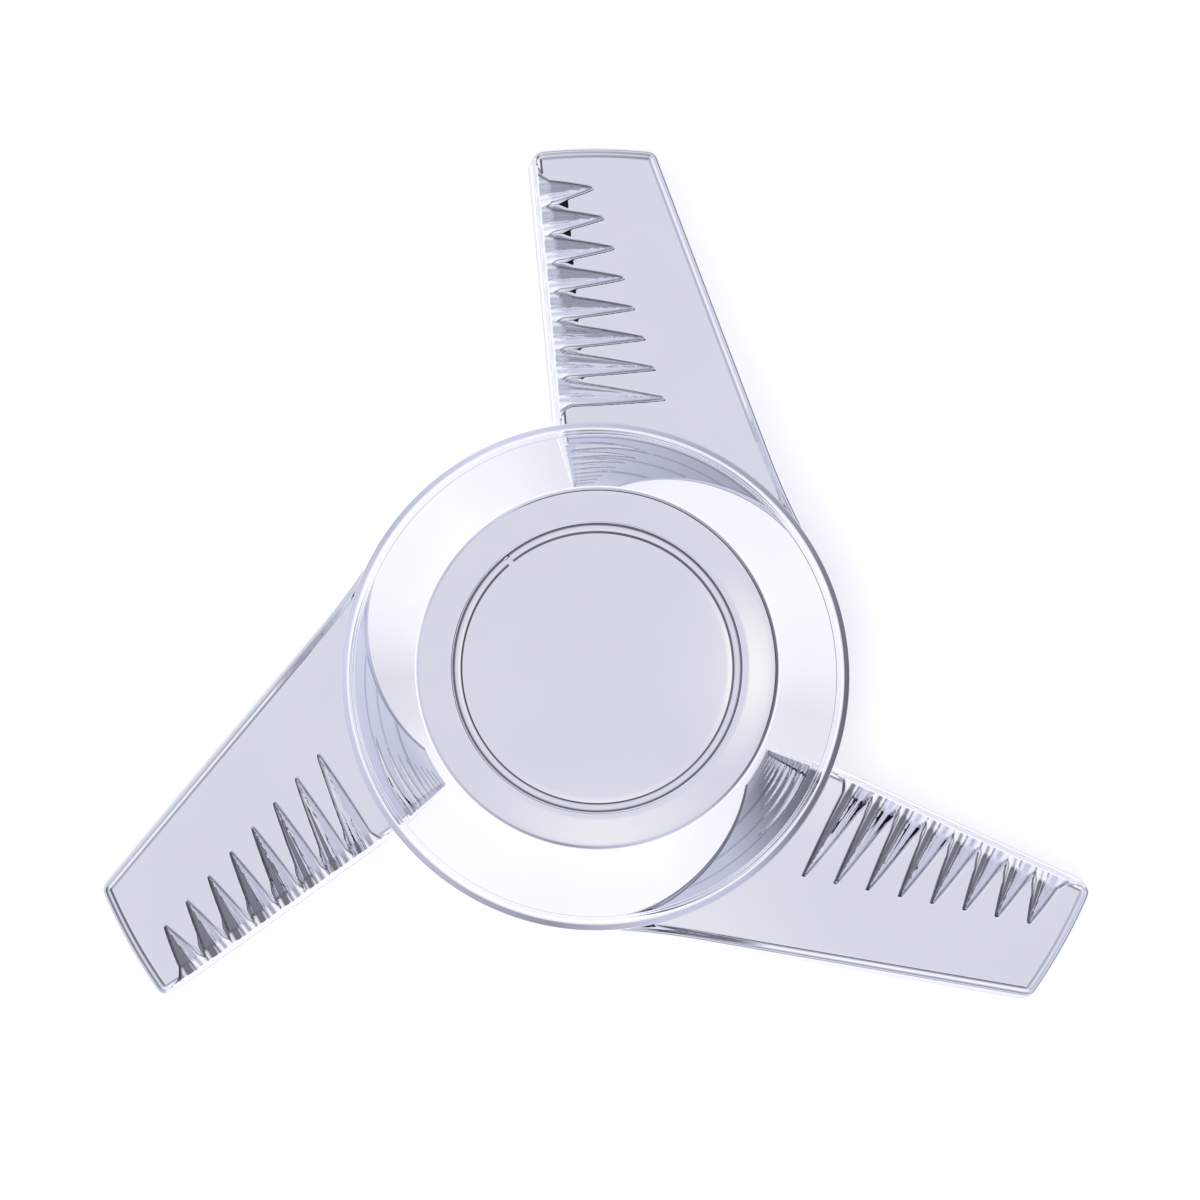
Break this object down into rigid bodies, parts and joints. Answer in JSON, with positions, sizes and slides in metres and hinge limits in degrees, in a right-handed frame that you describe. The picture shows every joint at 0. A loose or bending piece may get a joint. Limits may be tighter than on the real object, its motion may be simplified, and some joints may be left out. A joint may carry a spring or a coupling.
{
  "type": "three-blade wheel spinner",
  "caption": "Chromed wheel-centre spinner: domed hub with a flat top and blank centre disc, swept fluted blades, and a threaded wheel adapter it screws on to.",
  "frame": {"origin": "on the hub axis, in the plane of the gasket's rear face, which seats on the wheel", "axes": "+Z along the hub axis, out of the wheel towards the viewer; +Y along one blade"},
  "size_m": [0.2088, 0.1834, 0.0515],
  "materials": {
    "chrome_casting": "bright mirror chrome plate on a die-cast blade star",
    "chrome_dome": "bright mirror chrome plate on the hub dome",
    "chrome_disc": "bright chrome plate, plain centre disc",
    "spring_steel": "bright spring steel rings",
    "machined_steel": "turned steel, lightly oiled",
    "zinc_plate": "pale zinc plate, satin",
    "black_oxide": "black oxide finish on steel",
    "gasket_rubber": "matt black rubber",
    "pad_foam": "dark closed-cell foam"
  },
  "bodies": {
    "adapter": {"wheel_adapter": "machined_steel", "adapter_gasket": "gasket_rubber", "adapter_screw_1": "zinc_plate", "adapter_screw_2": "zinc_plate", "adapter_screw_3": "zinc_plate", "adapter_screw_4": "zinc_plate", "adapter_screw_5": "zinc_plate"},
    "washer": {"thrust_washer": "zinc_plate"},
    "spinner": {"blade_casting": "chrome_casting", "hub_dome": "chrome_dome", "emblem_disc": "chrome_disc", "emblem_ring": "spring_steel", "washer_circlip": "spring_steel", "threaded_bush": "machined_steel", "emblem_pad": "pad_foam", "bush_screw_1": "zinc_plate", "bush_screw_2": "zinc_plate", "bush_screw_3": "zinc_plate", "bush_screw_4": "zinc_plate", "dome_screw_1": "black_oxide", "dome_screw_2": "black_oxide", "dome_screw_3": "black_oxide", "dome_screw_4": "black_oxide", "dome_screw_5": "black_oxide", "dome_screw_6": "black_oxide", "lock_screw_1": "black_oxide", "lock_screw_2": "black_oxide", "lock_screw_3": "black_oxide"}
  },
  "joints": [
    {"name": "spinner_travel", "type": "slide", "parent": "adapter", "child": "washer", "axis": [0, 0, 1], "range_m": [0, 0.0105]},
    {"name": "spinner_turn", "type": "hinge", "parent": "washer", "child": "spinner", "pos_m": [0, 0, 0.0132], "axis": [0, 0, 1], "range_deg": [0, 1260]}
  ],
  "couplings": [
    {"joint": "spinner_travel", "follows": "spinner_turn", "m_per_rad": 0.00047746}
  ]
}
